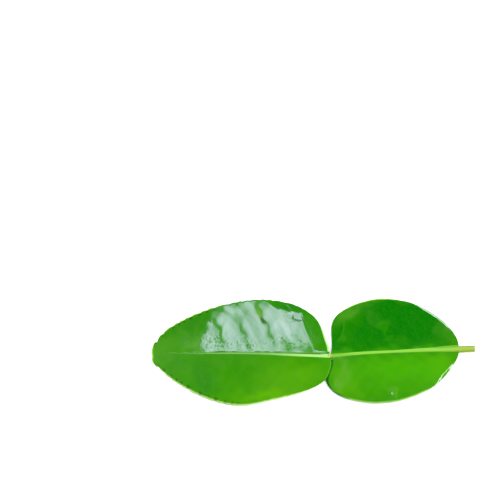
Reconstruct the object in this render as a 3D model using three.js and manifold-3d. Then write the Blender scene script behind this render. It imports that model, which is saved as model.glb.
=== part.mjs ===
// One picked makrut (kaffir) lime leaf, lying face up on a flat surface, as a single closed solid.
//
// The leaf grows in one piece: a cut stalk, a broadly winged leaf stalk (the wing), and the blade, which
// meets the wing at a joint where only the midrib runs through. Millimetres, +Z up, the tip towards -X and
// the cut end towards +X. The origin is the middle of the leaf's footprint, on the surface it lies on.
import * as THREE from "three";
import { mergeVertices } from "three/addons/utils/BufferGeometryUtils.js";
import Module from "manifold-3d";

const wasm = await Module();
wasm.setup();

// Driving dimensions, in millimetres. Every point is [x, y, z], and z is the height of the underside.
const THICKNESS = 0.35;
const ROW_SHARES = [0, 0.19, 0.38, 0.57, 0.75, 0.91, 1]; // across one half, from midrib to margin
const RIB_SIDES = 10;
const RIB_RINGS = 56;
const TOOTH_GROWTH = 3; // the higher, the nearer to the far end the teeth deepen
const TOOTH_CROWN = 0.9; // the lower, the broader the crowns and the narrower the notches

const TIP = [-55, -0.2, 0];
const RIB_START = [-48.5, -0.3, 0.2]; // where the midrib fades into the blade
const JOINT = [5.8, -1.3, 0.85];
const WING_BASE = [49.7, 1.2, 0.9];
const CUT_END = [55, 1.42, 0.75];

// Each lamina runs from the joint outwards. Left and right are as seen along that way, and each outline
// goes from the joint round to the far end. The shoulder and the corner, as shares of an outline's length,
// are where the sheet's cross lines begin and end.
const BLADE = {
  rib: [JOINT, [-7, -0.85, 0.8], [-20, -0.38, 0.8], [-37, -0.35, 0.85], TIP],
  left: [
    JOINT, [6.15, -4.1, 1.2], [4.15, -9.7, 1.4], [-1.1, -13.3, 1.45], [-13, -16.85, 1.4], [-25, -19.0, 1.3],
    [-36, -16.4, 1.0], [-46.8, -10.3, 0.6], [-51, -6.7, 0.35], [-54.3, -3.6, 0.1], TIP,
  ],
  right: [
    JOINT, [5.7, 1.6, 1.05], [4.9, 4.0, 1.35], [1.9, 11.1, 2.5], [-6, 16.3, 3.95], [-17.5, 18.0, 4.5],
    [-31.8, 15.9, 3.95], [-44.1, 12.0, 1.3], [-51.1, 7.6, 0.25], [-54.4, 2.8, 0.05], TIP,
  ],
  shoulder: 0.17,
  corner: 0.95,
  stations: 75,
  bulge: { left: -0.1, right: 0.25 },
  teeth: 27,
  toothDepth: [0.22, 0.8], // at the joint and at the far end
};
const WING = {
  rib: [JOINT, [16, -0.3, 0.85], [30, 0.45, 0.85], [38, 0.88, 0.9], WING_BASE],
  left: [
    JOINT, [6.2, 2.5, 0.75], [6.7, 11.5, 0.5], [12.3, 16.75, 0.1], [23.3, 20.0, -0.45], [34.9, 18.0, 0.3],
    [44.6, 11.5, 0.75], [49.0, 5.3, 0.8], WING_BASE,
  ],
  right: [
    JOINT, [5.75, -3.8, 0.65], [4.3, -10.3, 0.6], [8.0, -14.95, 0.85], [17.5, -17.9, 1.1],
    [28.1, -17.5, 1.15], [39.3, -13.1, 1.1], [42.9, -10.15, 1.05], [46.1, -6.45, 1.0], [49.1, -1.6, 0.9],
    WING_BASE,
  ],
  shoulder: 0.2,
  corner: 0.94,
  stations: 36,
  bulge: { left: 0.25, right: 0.2 },
  teeth: 15,
  toothDepth: [0.1, 0.08],
};

// The midrib's section at places along x: half its width, its rise over the lamina's upper face and the
// depth of its keel under the lower face.
const RIB_SECTIONS = [
  { x: -48.5, halfWidth: 0.14, rise: 0.03, keel: 0.1 },
  { x: -38, halfWidth: 0.2, rise: 0.05, keel: 0.25 },
  { x: -16, halfWidth: 0.34, rise: 0.07, keel: 0.5 },
  { x: 1, halfWidth: 0.6, rise: 0.12, keel: 0.75 },
  { x: 5.8, halfWidth: 0.75, rise: 0.2, keel: 0.85 },
  { x: 10, halfWidth: 0.58, rise: 0.12, keel: 0.8 },
  { x: 27, halfWidth: 0.48, rise: 0.1, keel: 0.7 },
  { x: 43, halfWidth: 0.8, rise: 0.2, keel: 0.85 },
  { x: 50, halfWidth: 1.1, rise: 0.7, keel: 0.75 },
  { x: 55, halfWidth: 1.06, rise: 0.82, keel: 0.75 },
];

const curveThrough = (points) =>
  new THREE.CatmullRomCurve3(points.map((p) => new THREE.Vector3(...p)));

// How far a tooth's outline lies inside the smooth one at a share of the outline's length: nothing at the
// crown of a tooth, the whole depth in the notch between two.
function notchDepth(lamina, share) {
  const [atJoint, atEnd] = lamina.toothDepth;
  const depth = THREE.MathUtils.lerp(atJoint, atEnd, share ** TOOTH_GROWTH);
  const crown = Math.abs(Math.sin(Math.PI * lamina.teeth * share)) ** TOOTH_CROWN;
  return depth * (1 - crown);
}

// The outline's point at a share of its length, drawn in towards the leaf by the notch there.
function marginPoint(lamina, outline, share, inwards) {
  const tangent = outline.getTangentAt(share);
  const normal = new THREE.Vector3(-tangent.y, tangent.x, 0).normalize();
  return outline.getPointAt(share).addScaledVector(normal, inwards * notchDepth(lamina, share));
}

// The underside's point in one half of a lamina: along runs from the joint to the far end, and across from
// the midrib to the margin. The four sides of the half are blended as in a Coons patch.
function halfPoint(lamina, rib, half, along, across) {
  const { shoulder, corner } = lamina;
  const { outline, inwards, bulge } = half;
  const marginShare = shoulder + along * (corner - shoulder);
  const endShare = 1 - across * (1 - corner);
  if (across === 1) return marginPoint(lamina, outline, marginShare, inwards);
  if (along === 1) return marginPoint(lamina, outline, endShare, inwards);
  const point = rib.getPointAt(along).multiplyScalar(1 - across);
  point.addScaledVector(outline.getPointAt(marginShare), across);
  point.addScaledVector(outline.getPointAt(across * shoulder), 1 - along);
  point.addScaledVector(outline.getPointAt(endShare), along);
  point.addScaledVector(outline.getPointAt(0), -(1 - along) * (1 - across));
  point.addScaledVector(outline.getPointAt(1), -along * (1 - across));
  point.addScaledVector(outline.getPointAt(shoulder), -(1 - along) * across);
  point.addScaledVector(outline.getPointAt(corner), -along * across);
  point.z += bulge * Math.sin(Math.PI * across) * Math.sin(Math.PI * along);
  return point;
}

// A lamina as a thin box, bent to the leaf's surface. Where it would sink into the surface it lies on, its
// underside is flat.
function laminaGeometry(lamina) {
  const rib = curveThrough(lamina.rib);
  const left = { outline: curveThrough(lamina.left), inwards: -1, bulge: lamina.bulge.left };
  const right = { outline: curveThrough(lamina.right), inwards: 1, bulge: lamina.bulge.right };
  const rows = ROW_SHARES.length - 1;
  const box = new THREE.BoxGeometry(1, 2, 1, lamina.stations, 2 * rows, 1);
  const position = box.getAttribute("position");
  for (let i = 0; i < position.count; i++) {
    const along = position.getX(i) + 0.5;
    const row = Math.round(Math.abs(position.getY(i)) * rows);
    const isTop = position.getZ(i) > 0;
    const half = position.getY(i) >= 0 ? left : right;
    const point = halfPoint(lamina, rib, half, along, ROW_SHARES[row]);
    const underside = Math.max(point.z, 0);
    position.setXYZ(i, point.x, point.y, underside + (isTop ? THICKNESS : 0));
  }
  return box;
}

// The midrib's section at x, between the two nearest stated ones.
function ribSectionAt(x) {
  const last = RIB_SECTIONS.length - 1;
  const next = Math.min(Math.max(RIB_SECTIONS.findIndex((s) => s.x >= x), 1), last);
  const [a, b] = [RIB_SECTIONS[next - 1], RIB_SECTIONS[next]];
  const share = THREE.MathUtils.clamp((x - a.x) / (b.x - a.x), 0, 1);
  const between = (key) => THREE.MathUtils.lerp(a[key], b[key], share);
  return { halfWidth: between("halfWidth"), rise: between("rise"), keel: between("keel") };
}

// The midrib and the cut stalk as one tapering rod, from near the tip through the joint to the cut end.
function ribGeometry() {
  const centreline = curveThrough([
    RIB_START, ...BLADE.rib.slice(0, -1).reverse(), ...WING.rib.slice(1), CUT_END,
  ]);
  const rod = new THREE.CylinderGeometry(1, 1, 1, RIB_SIDES, RIB_RINGS);
  const position = rod.getAttribute("position");
  for (let i = 0; i < position.count; i++) {
    const centre = centreline.getPointAt(position.getY(i) + 0.5);
    const { halfWidth, rise, keel } = ribSectionAt(centre.x);
    const up = -position.getZ(i);
    const lift = THICKNESS / 2 + up * (THICKNESS / 2 + (up > 0 ? rise : keel));
    position.setXYZ(i, centre.x, centre.y + halfWidth * position.getX(i), centre.z + lift);
  }
  return rod;
}

// A closed geometry as a manifold-3d solid.
function solidFrom(geometry) {
  const bare = new THREE.BufferGeometry()
    .setAttribute("position", geometry.getAttribute("position"))
    .setIndex(geometry.index);
  const merged = mergeVertices(bare, 1e-3);
  return new wasm.Manifold(
    new wasm.Mesh({
      numProp: 3,
      vertProperties: merged.getAttribute("position").array,
      triVerts: new Uint32Array(merged.index.array),
    }),
  );
}

// A manifold-3d solid as a geometry, standing on z = 0 with its box centred on x = 0 and y = 0.
function geometryFrom(solid) {
  const mesh = solid.getMesh();
  const geometry = new THREE.BufferGeometry()
    .setAttribute("position", new THREE.BufferAttribute(mesh.vertProperties, 3))
    .setIndex(new THREE.BufferAttribute(mesh.triVerts, 1));
  geometry.computeBoundingBox();
  const centre = geometry.boundingBox.getCenter(new THREE.Vector3());
  return geometry.translate(-centre.x, -centre.y, -geometry.boundingBox.min.z);
}

const leafSolid = solidFrom(laminaGeometry(BLADE))
  .add(solidFrom(laminaGeometry(WING)))
  .add(solidFrom(ribGeometry()));
const leafGreen = new THREE.MeshStandardMaterial({ color: 0x3f9a12, roughness: 0.35, metalness: 0 });
const leaf = new THREE.Mesh(geometryFrom(leafSolid), leafGreen);
leaf.name = "lime_leaf";

const part = new THREE.Group();
part.add(leaf);
export default part;
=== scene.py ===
import bpy
import numpy as np
from math import radians, sin, cos
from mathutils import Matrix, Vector


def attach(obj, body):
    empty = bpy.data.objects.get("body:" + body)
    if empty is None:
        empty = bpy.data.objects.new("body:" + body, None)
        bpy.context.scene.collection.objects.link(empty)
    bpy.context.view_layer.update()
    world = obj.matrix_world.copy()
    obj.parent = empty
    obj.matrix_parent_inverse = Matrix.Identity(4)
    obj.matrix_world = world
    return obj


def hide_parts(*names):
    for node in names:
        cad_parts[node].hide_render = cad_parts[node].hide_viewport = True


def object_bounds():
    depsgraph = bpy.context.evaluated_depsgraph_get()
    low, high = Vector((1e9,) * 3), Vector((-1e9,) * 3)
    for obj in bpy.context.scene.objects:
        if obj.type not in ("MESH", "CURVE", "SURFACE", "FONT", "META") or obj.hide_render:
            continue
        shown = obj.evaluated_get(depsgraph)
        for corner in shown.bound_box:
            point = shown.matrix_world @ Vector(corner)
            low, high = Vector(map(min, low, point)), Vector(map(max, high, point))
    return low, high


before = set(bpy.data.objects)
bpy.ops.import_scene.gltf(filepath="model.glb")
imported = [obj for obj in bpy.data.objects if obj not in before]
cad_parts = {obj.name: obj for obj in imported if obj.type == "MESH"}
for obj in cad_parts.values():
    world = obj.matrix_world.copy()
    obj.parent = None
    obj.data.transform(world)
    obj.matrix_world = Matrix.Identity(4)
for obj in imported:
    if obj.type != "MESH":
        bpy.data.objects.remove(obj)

cadLow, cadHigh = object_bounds()
mm = 0.001


def readPoints(piece):
    spots = np.empty(len(piece.data.vertices) * 3)
    piece.data.vertices.foreach_get("co", spots)
    return spots.reshape(-1, 3)


def writePoints(piece, spots):
    piece.data.vertices.foreach_set("co", np.ascontiguousarray(spots).ravel())
    piece.data.update()


def readTrait(piece, name):
    values = np.empty(len(piece.data.vertices), dtype=np.float32)
    piece.data.attributes[name].data.foreach_get("value", values)
    return values.astype(float)


def writeTrait(piece, name, values):
    traits = piece.data.attributes
    trait = traits.get(name) or traits.new(name, "FLOAT", "POINT")
    trait.data.foreach_set("value", np.ascontiguousarray(values, dtype=np.float32))


def deselectAll():
    for thing in bpy.context.selected_objects:
        thing.select_set(False)


def makeActive(piece):
    deselectAll()
    piece.select_set(True)
    bpy.context.view_layer.objects.active = piece


def applyModifier(piece, kind, **settings):
    makeActive(piece)
    modifier = piece.modifiers.new(kind.lower(), kind)
    for key, value in settings.items():
        setattr(modifier, key, value)
    bpy.ops.object.modifier_apply(modifier=modifier.name)


def deselectMesh(kind):
    # clears the active mesh's selection, so that edges or faces can be picked
    bpy.ops.object.mode_set(mode="EDIT")
    bpy.ops.mesh.select_mode(type=kind)
    bpy.ops.mesh.select_all(action="DESELECT")
    bpy.ops.object.mode_set(mode="OBJECT")


def selectEdges(piece, wanted):
    # wanted says, for each vertex, whether edges between two such vertices are picked
    makeActive(piece)
    deselectMesh("EDGE")
    for edge in piece.data.edges:
        edge.select = bool(wanted[edge.vertices[0]] and wanted[edge.vertices[1]])
    bpy.ops.object.mode_set(mode="EDIT")


def ramp(value, start, width):
    # 0 up to the start, then rising evenly to 1 over the width
    return np.clip((value - start) / width, 0, 1)


# The leaf's lines in millimetres, as in the model: each point is x, y and the height of the underside.
tip = (-55, -0.2, 0)
joint = (5.8, -1.3, 0.85)
wingBase = (49.7, 1.2, 0.9)
cutEnd = (55, 1.42, 0.75)

blade = {
    "number": 0,
    "rows": 236,
    "columns": 44,
    "rib": [joint, (-7, -0.85, 0.8), (-20, -0.38, 0.8), (-37, -0.35, 0.85), tip],
    "left": [joint, (6.15, -4.1, 1.2), (4.15, -9.7, 1.4), (-1.1, -13.3, 1.45), (-13, -16.85, 1.4),
             (-25, -19.0, 1.3), (-36, -16.4, 1.0), (-46.8, -10.3, 0.6), (-51, -6.7, 0.35),
             (-54.3, -3.6, 0.1), tip],
    "right": [joint, (5.7, 1.6, 1.05), (4.9, 4.0, 1.35), (1.9, 11.1, 2.5), (-6, 16.3, 3.95),
              (-17.5, 18.0, 4.5), (-31.8, 15.9, 3.95), (-44.1, 12.0, 1.3), (-51.1, 7.6, 0.25),
              (-54.4, 2.8, 0.05), tip],
    "shoulder": 0.17,          # where the base lobe turns into the side, as a share of the outline
    "corner": 0.95,            # and where the side turns into the far end
    "endsFree": True,          # the far end is margin, as at the tip
    "bulge": {"left": -0.1, "right": 0.25},
    "curls": {"left": [], "right": []},
    "teeth": 27,
    "toothDepth": (0.22, 0.8),     # at the joint and at the far end
    "notchTint": 1.0,
    # single notches, or if negative lobes: share of the outline, depth and width as a share
    "nicks": {"left": [(0.912, 0.6, 0.008), (0.94, 0.25, 0.006), (1, -0.5, 0.012)],
              "right": [(0.922, 1.1, 0.008), (0.96, -0.8, 0.012)]},
    # how much painted light, where light catches or passes through the thin edge, or if negative painted
    # shadow, the margin has: share of the outline and tone
    "edgeTones": {"left": [(0, 0.2), (0.13, 0.2), (0.2, 0.5), (0.85, 0.5), (0.97, 0.7)],
                  "right": [(0, 1.0), (0.16, 1.0), (0.2, 0.2), (0.5, 0.2), (0.7, 0.5), (0.97, 0.7)]},
    "length": 61,                  # from the joint to the far end
    "veins": 15,
    "veinLean": (-0.08, -0.05),    # how far a side vein leans and then curls towards the tip, as shares
}
wing = {
    "number": 1,
    "rows": 172,
    "columns": 44,
    "rib": [joint, (16, -0.3, 0.85), (30, 0.45, 0.85), (38, 0.88, 0.9), wingBase],
    "left": [joint, (6.2, 2.5, 0.75), (6.7, 11.5, 0.5), (12.3, 16.75, 0.1), (23.3, 20.0, -0.45),
             (34.9, 18.0, 0.3), (44.6, 11.5, 0.75), (49.0, 5.3, 0.8), wingBase],
    "right": [joint, (5.75, -3.8, 0.65), (4.3, -10.3, 0.6), (8.0, -14.95, 0.85), (17.5, -17.9, 1.1),
              (28.1, -17.5, 1.15), (39.3, -13.1, 1.1), (42.9, -10.15, 1.05),
              (46.1, -6.45, 1.0), (49.1, -1.6, 0.9), wingBase],
    "shoulder": 0.2,
    "corner": 0.94,
    "endsFree": False,         # the far end runs into the stalk
    "bulge": {"left": 0.25, "right": 0.2},
    # stretches of the margin that turn down: from, to, width and slope
    "curls": {"left": [(0.65, 0.9, 0.9, 0.36)], "right": [(0.76, 0.92, 1.1, 0.43)]},
    "teeth": 15,
    "toothDepth": (0.1, 0.08),
    "notchTint": 0.0,
    "nicks": {"left": [], "right": []},
    "edgeTones": {"left": [(0, 0.0), (0.2, 0.3), (0.26, 0.45), (0.52, 0.45), (0.62, 0.1)],
                  # negative at first: painted shadow where this edge lies under the blade
                  "right": [(0, -1.0), (0.24, -1.0), (0.3, 0.4), (0.7, 0.4), (0.76, 0.0)]},
    "length": 44,
    "veins": 10,
    "veinLean": (0.16, 0.08),      # the other way, because the wing runs away from the tip
}
sheet = {
    "thickness": 0.35,
    "toothReach": 2.5,      # how far in from the margin a tooth's pull is felt
    "toothCrown": 0.9,      # the lower, the broader the teeth and the narrower the notches
    "toothGrowth": 3,       # the higher, the nearer to the far end the notches deepen
    # how the teeth stray from even spacing: how much, how fast and where it starts
    "toothWander": {"left": [(0.3, 21, 1.0), (0.2, 47, 0)], "right": [(0.3, 21, 2.6), (0.2, 47, 0)]},
    "tintFrom": 0.3,        # the share of the outline from which the notches are darker
    "roll": 0.4,            # width of the rounded edge
    "rollDrop": 0.13,
    "edgeRows": (0.0, 0.1, 0.22, 0.36),    # how far from the edge its close rows lie
    "evenFrom": 0.6,        # and where the even rows begin
    "curlEase": 0.06,       # the share of the outline over which a curl sets in
    "curlSoft": 0.1,
    "curlClear": (1.05, 1.5),      # a curl sets in this far from the midrib, over this width
    "curlFlat": (0.8, 0.2),        # how much less a curled edge is rolled, and the drop by which it is
    "jointSlit": 0.2,       # half the gap between blade and wing, beside the midrib
    "slitReach": 0.035,     # how far along the sheets the gap is felt, as a share
    "lap": (1.0, 1.5),      # below the midrib the blade laps over: from where, and over what width
    "wellInside": 9,        # distance from the margin that the midrib has where it crosses the joint
}
# the midrib along x: half its width, its rise over the upper face and its keel under the lower face
midrib = {
    "x": (-55, -48.5, -38, -16, 1, 5.8, 10, 27, 43, 50, 55),
    "halfWidth": (0.12, 0.14, 0.2, 0.34, 0.6, 0.75, 0.58, 0.48, 0.8, 1.1, 1.06),
    "rise": (0.0, 0.03, 0.05, 0.07, 0.12, 0.2, 0.12, 0.1, 0.2, 0.7, 0.82),
    "keel": (0.0, 0.1, 0.25, 0.5, 0.75, 0.85, 0.8, 0.7, 0.85, 0.75, 0.75),
    "columns": (0.0, 0.35, 0.7, 1.0, 1.4, 2.1),   # shares of its half width
    "ownColumns": 3,        # how many columns to each side lie on the midrib
    "jointEdge": (2 / 3, 4 / 3),   # where it ends as it crosses the joint, in half widths
    "leastDrawn": 0.22,     # its least half width, for the colours
}
curveSteps = 60             # how finely a smooth line is worked out between two points
crossPoints = 13            # how many points of a cross line its length is measured over


def smoothLine(points):
    # a smooth curve through the points, read by share of its length
    p = np.array(points, float)
    p = np.vstack([2 * p[0] - p[1], p, 2 * p[-1] - p[-2]])
    runs = []
    for i in range(1, len(p) - 2):
        p0, p1, p2, p3 = p[i - 1:i + 3]
        t0 = 0.0
        t1 = t0 + np.linalg.norm(p1 - p0) ** 0.5
        t2 = t1 + np.linalg.norm(p2 - p1) ** 0.5
        t3 = t2 + np.linalg.norm(p3 - p2) ** 0.5
        t = np.linspace(t1, t2, curveSteps, endpoint=False)[:, None]
        a1 = (t1 - t) / (t1 - t0) * p0 + (t - t0) / (t1 - t0) * p1
        a2 = (t2 - t) / (t2 - t1) * p1 + (t - t1) / (t2 - t1) * p2
        a3 = (t3 - t) / (t3 - t2) * p2 + (t - t2) / (t3 - t2) * p3
        b1 = (t2 - t) / (t2 - t0) * a1 + (t - t0) / (t2 - t0) * a2
        b2 = (t3 - t) / (t3 - t1) * a2 + (t - t1) / (t3 - t1) * a3
        runs.append((t2 - t) / (t2 - t1) * b1 + (t - t1) / (t2 - t1) * b2)
    line = np.vstack(runs + [p[-2][None]])
    way = np.r_[0, np.cumsum(np.linalg.norm(np.diff(line, axis=0), axis=1))]
    length = way[-1]
    way /= length

    def at(share):
        share = np.clip(share, 0, 1)
        return np.stack([np.interp(share, way, line[:, k]) for k in range(3)], -1)
    at.length = length
    return at


def halfSheet(lamina, side, along, across):
    # a point of one half: along goes from the joint to the far end, across from the midrib to the margin
    rib, outline = smoothLine(lamina["rib"]), smoothLine(lamina[side])
    shoulder, corner = lamina["shoulder"], lamina["corner"]
    a, c = along[..., None], across[..., None]
    still = np.zeros_like(along)
    spots = rib(along) * (1 - c) + outline(shoulder + along * (corner - shoulder)) * c
    spots += outline(across * shoulder) * (1 - a) + outline(1 - across * (1 - corner)) * a
    spots -= outline(still) * (1 - a) * (1 - c) + outline(still + 1) * a * (1 - c)
    spots -= outline(still + shoulder) * (1 - a) * c + outline(still + corner) * a * c
    spots[..., 2] += lamina["bulge"][side] * np.sin(np.pi * across) * np.sin(np.pi * along)
    return spots


def toothDepthAt(lamina, share):
    near, far = lamina["toothDepth"]
    return near + (far - near) * share ** sheet["toothGrowth"]


def notchDepth(lamina, side, share):
    # how far the margin lies inside the smooth outline: nothing at a tooth's crown, most in a notch
    wander = sum(much * np.sin(fast * share + start) for much, fast, start in sheet["toothWander"][side])
    crown = np.abs(np.sin(np.pi * (lamina["teeth"] * share + wander))) ** sheet["toothCrown"]
    cut = toothDepthAt(lamina, share) * (1 - crown)
    for spot, deep, wide in lamina["nicks"][side]:
        cut += deep * np.exp(-((share - spot) / wide) ** 2)
    return cut


def rowPlaces(lamina, length):
    # along shares of the rows: close ones at both ends and even ones between
    ends, start = np.array(sheet["edgeRows"]) / length, sheet["evenFrom"] / length
    middle = np.linspace(start, 1 - start, lamina["rows"] + 1 - 2 * len(ends))
    return np.concatenate([ends, middle, 1 - ends[::-1]])


def columnPlaces(lamina, ribHalf, reach):
    # across shares of one half's columns: first the midrib's, then even ones, then the rounded edge's
    nearRib = np.array(midrib["columns"]) * ribHalf[:, None]
    nearEdge = reach[:, None] - np.array(sheet["edgeRows"])[::-1]
    count = lamina["columns"] + 1 - nearRib.shape[1] - nearEdge.shape[1]
    step = (np.arange(count) + 1) / (count + 1)
    first, last = nearRib[:, -1:], nearEdge[:, :1]
    return np.concatenate([nearRib, first + (last - first) * step, nearEdge], 1) / reach[:, None]


def softStep(distance, soft):
    # nothing on the near side of a fold, growing evenly on the far side
    return soft * np.logaddexp(0, distance / soft)


def curlDrop(lamina, side, share, away):
    # how far the sheet turns down near its edge, on the stretches of the outline that curl
    drop = 0
    for start, end, wide, slope in lamina["curls"][side]:
        window = ramp(share, start, sheet["curlEase"]) * ramp(end - share, 0, sheet["curlEase"])
        drop = drop + window * slope * softStep(wide - away, sheet["curlSoft"])
    return drop


def nearestEdge(distances, shares):
    # the share of the outline at the nearest of the three edges that bound one half
    return np.choose(np.argmin(np.stack(distances), 0), shares)


def layHalf(lamina, side):
    # every vertex of one half: its place, and its distances, curl and tone there
    rib = smoothLine(lamina["rib"])
    along = rowPlaces(lamina, rib.length)
    lines = halfSheet(lamina, side, *np.meshgrid(along, np.linspace(0, 1, crossPoints), indexing="ij"))
    reach = np.linalg.norm(np.diff(lines, axis=1), axis=2).sum(1)     # from midrib to margin
    ribHalf = np.interp(rib(along)[:, 0], midrib["x"], midrib["halfWidth"])
    across = columnPlaces(lamina, ribHalf, reach)
    along = np.repeat(along[:, None], across.shape[1], 1)
    toSide = (1 - across) * reach[:, None]
    toEnd, toJoint = (1 - along) * rib.length, along * rib.length
    shoulder, corner = lamina["shoulder"], lamina["corner"]
    sideShare = shoulder + along * (corner - shoulder)
    endShare, jointShare = 1 - across * (1 - corner), across * shoulder
    cutSide = notchDepth(lamina, side, sideShare) * ramp(sheet["toothReach"] - toSide, 0, sheet["toothReach"])
    cutEnd = notchDepth(lamina, side, endShare) * ramp(sheet["toothReach"] - toEnd, 0, sheet["toothReach"])
    cutEnd *= lamina["endsFree"]
    spots = halfSheet(lamina, side, along - cutEnd / rib.length, across - cutSide / reach[:, None])
    edgeShare = nearestEdge((toSide, toEnd, toJoint), (sideShare, endShare, jointShare))
    edgeTone = np.interp(edgeShare, *zip(*lamina["edgeTones"][side]))
    notch = notchDepth(lamina, side, edgeShare) / toothDepthAt(lamina, edgeShare)
    notch *= lamina["notchTint"] * ramp(edgeShare, sheet["tintFrom"], sheet["tintFrom"])
    fromRib = across * reach[:, None]
    curl = curlDrop(lamina, side, sideShare, toSide) + curlDrop(lamina, side, endShare, toEnd)
    curl = curl * ramp(fromRib, *sheet["curlClear"])
    # the midrib runs on past the joint and into the stalk, so it has no margin there
    onRib = 1 - ramp(fromRib / ribHalf[:, None], *midrib["jointEdge"])
    toJoint = toJoint + onRib * sheet["wellInside"]
    if not lamina["endsFree"]:
        toEnd = toEnd + onRib * sheet["wellInside"]
    return {"spots": spots, "along": along, "across": across, "fromRib": fromRib, "curl": curl,
            "edgeTone": edgeTone, "notch": notch,
            "toMargin": np.minimum(np.minimum(toSide, toEnd), toJoint)}


def addLamina(name, lamina):
    deselectAll()
    rows, columns = lamina["rows"], lamina["columns"]
    bpy.ops.mesh.primitive_grid_add(x_subdivisions=rows, y_subdivisions=2 * columns, size=1)
    piece = bpy.context.object
    piece.name = name
    flat = readPoints(piece)
    row = np.rint((flat[:, 0] + 0.5) * rows).astype(int)
    column = np.rint(flat[:, 1] * 2 * columns).astype(int)
    left, right = layHalf(lamina, "left"), layHalf(lamina, "right")
    pick = {key: np.where((column >= 0).reshape(-1, *[1] * (left[key].ndim - 2)),
                          left[key][row, np.abs(column)], right[key][row, np.abs(column)])
            for key in left}
    writePoints(piece, pick["spots"] * mm)
    side = np.where(column >= 0, 1.0, -1.0)
    writeTrait(piece, "lamina", np.full(len(row), lamina["number"]))
    writeTrait(piece, "along", pick["along"])
    writeTrait(piece, "across", pick["across"] * side)
    writeTrait(piece, "fromRib", pick["fromRib"] * side)
    for key in ("toMargin", "curl", "edgeTone", "notch"):
        writeTrait(piece, key, pick[key])
    writeTrait(piece, "row", row)
    writeTrait(piece, "column", column)
    return piece


print("leaf: blade and wing as sheets")
leaf = addLamina("lime_leaf_look", blade)
wingSheet = addLamina("wingSheet", wing)

# the two sheets stop short of each other, and only the midrib's columns are bridged across the joint
for piece, way in ((leaf, -1), (wingSheet, 1)):
    spots = readPoints(piece)
    near = np.exp(-(readTrait(piece, "along") / sheet["slitReach"]) ** 2)
    near *= 1 - ramp(readTrait(piece, "fromRib") * -way, *sheet["lap"])
    spots[:, 0] += way * sheet["jointSlit"] * mm * near
    writePoints(piece, spots)
makeActive(leaf)
wingSheet.select_set(True)
bpy.ops.object.join()
onRib = np.abs(readTrait(leaf, "column")) <= midrib["ownColumns"]
atJoint = onRib & (readTrait(leaf, "row") == 0)
selectEdges(leaf, atJoint)
bpy.ops.mesh.bridge_edge_loops()
bpy.ops.object.mode_set(mode="OBJECT")

print("leaf: stalk")
stalk = {
    "number": 2,
    "steps": (50.4, 51.1, 51.8, 52.6, 53.4, 54.1, 54.6, 54.86, 55.0),
    "across": 0.02,         # half its width, as a share of a lamina's half
}
lastRow = (readTrait(leaf, "lamina") == wing["number"]) & (readTrait(leaf, "row") == wing["rows"])
selectEdges(leaf, onRib & lastRow)
for step in stalk["steps"]:
    bpy.ops.mesh.extrude_region_move(TRANSFORM_OT_translate={"value": (mm, 0, 0)})
    bpy.ops.object.mode_set(mode="OBJECT")
    new = np.array([v.select for v in leaf.data.vertices])     # the new row is put in its place
    spots = readPoints(leaf)
    share = (step - wingBase[0]) / (cutEnd[0] - wingBase[0])
    centre = np.array(wingBase) + share * (np.array(cutEnd) - np.array(wingBase))
    spots[new, 0] = step * mm
    halfWidth = np.interp(step, midrib["x"], midrib["halfWidth"])
    column = readTrait(leaf, "column")[new]
    place = np.sign(column) * np.take(midrib["columns"], np.abs(column).astype(int))
    spots[new, 1] = (centre[1] + place * halfWidth) * mm
    spots[new, 2] = centre[2] * mm
    writePoints(leaf, spots)
    newTraits = {"lamina": stalk["number"], "along": share, "across": place * stalk["across"],
                 "fromRib": place * halfWidth, "toMargin": sheet["wellInside"], "curl": 0,
                 "edgeTone": 0, "notch": 0}
    for name, value in newTraits.items():
        values = readTrait(leaf, name)
        values[new] = value
        writeTrait(leaf, name, values)
    bpy.ops.object.mode_set(mode="EDIT")
bpy.ops.object.mode_set(mode="OBJECT")

print("leaf: relief and thickness")
relief = {
    "veinGroove": 0.012,
    "veinRidge": 0.088,      # on the underside
    "veinWidth": 0.3,
    "quilt": 0.012,          # how high the sheet swells between two side veins
    "fadeOut": 2.5,          # the width of margin over which grooves and swells run out
    "pleats": (0.04, 0.14),  # they start this far from the joint and grow over this much, as shares
    "keelWidth": 1.02,       # in half widths of the midrib
    "ribGroove": {"deep": 0.03, "at": 1.35, "wide": 0.4, "fadeOut": 1.0},     # at and wide: half widths
    "settle": 0.15,          # how softly the upper face bends where the sheet lies flat
    # slow waves of the sheet: height, pitch along x, pitch along y, start
    "sway": [(0.03, 17, 60, 0.4), (0.014, -11, 23, 2.0), (0.008, 7.5, -16, 4.1)],
    # the blade's base lobe turns down past a line between two points, and so does a strip of its margin;
    # ribClear: how far from the midrib a fold sets in, and over what width
    "lobeFold": {"from": (-4.0, 13.4), "to": (-1.4, 2.45), "slope": 0.09, "soft": 0.25,
                 "ribClear": (1.7, 2.6)},
    "tipFold": {"from": (-37.8, 1.0), "to": (-36.0, 12.5), "slope": 0.035, "soft": 0.5,
                "reach": 7, "endSoft": 2.0, "ribClear": (0, 2)},
    "marginFold": {"line": [(-21, 19.9), (-17.5, 18.2), (-14.8, 16.4), (-11.3, 14.3), (-4.2, 13.3),
                            (0, 12.8)], "steps": 80, "slope": 0.13, "soft": 0.3},
    # short dents: two ends, half width and depth
    "dents": [((-19.3, 17.6), (-18.9, 13.8), 0.5, 0.05), ((-18.0, 12.6), (-16.4, 10.4), 0.45, 0.05)],
    # blisters: place, radius and height
    "blisters": [((-6.9, 11.6), 0.55, 0.14), ((-5.7, 11.9), 0.45, 0.11), ((-6.0, 10.6), 0.4, 0.1),
                 ((-12.3, 8.6), 0.45, 0.08), ((26.6, -14.2), 1.1, 0.2), ((28.1, -14.2), 0.7, 0.14),
                 ((25, -14.6), 0.6, 0.1)],
}
veinLay = {
    "alternate": 0.37,       # how far the right half's veins are off the left half's, in spacings
    # how the spacing wanders: how much, how fast along, how fast across, and the step between halves
    "wander": [(0.16, 7.3, 2.2, 9), (0.1, 17, -3, 0)],
}


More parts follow.
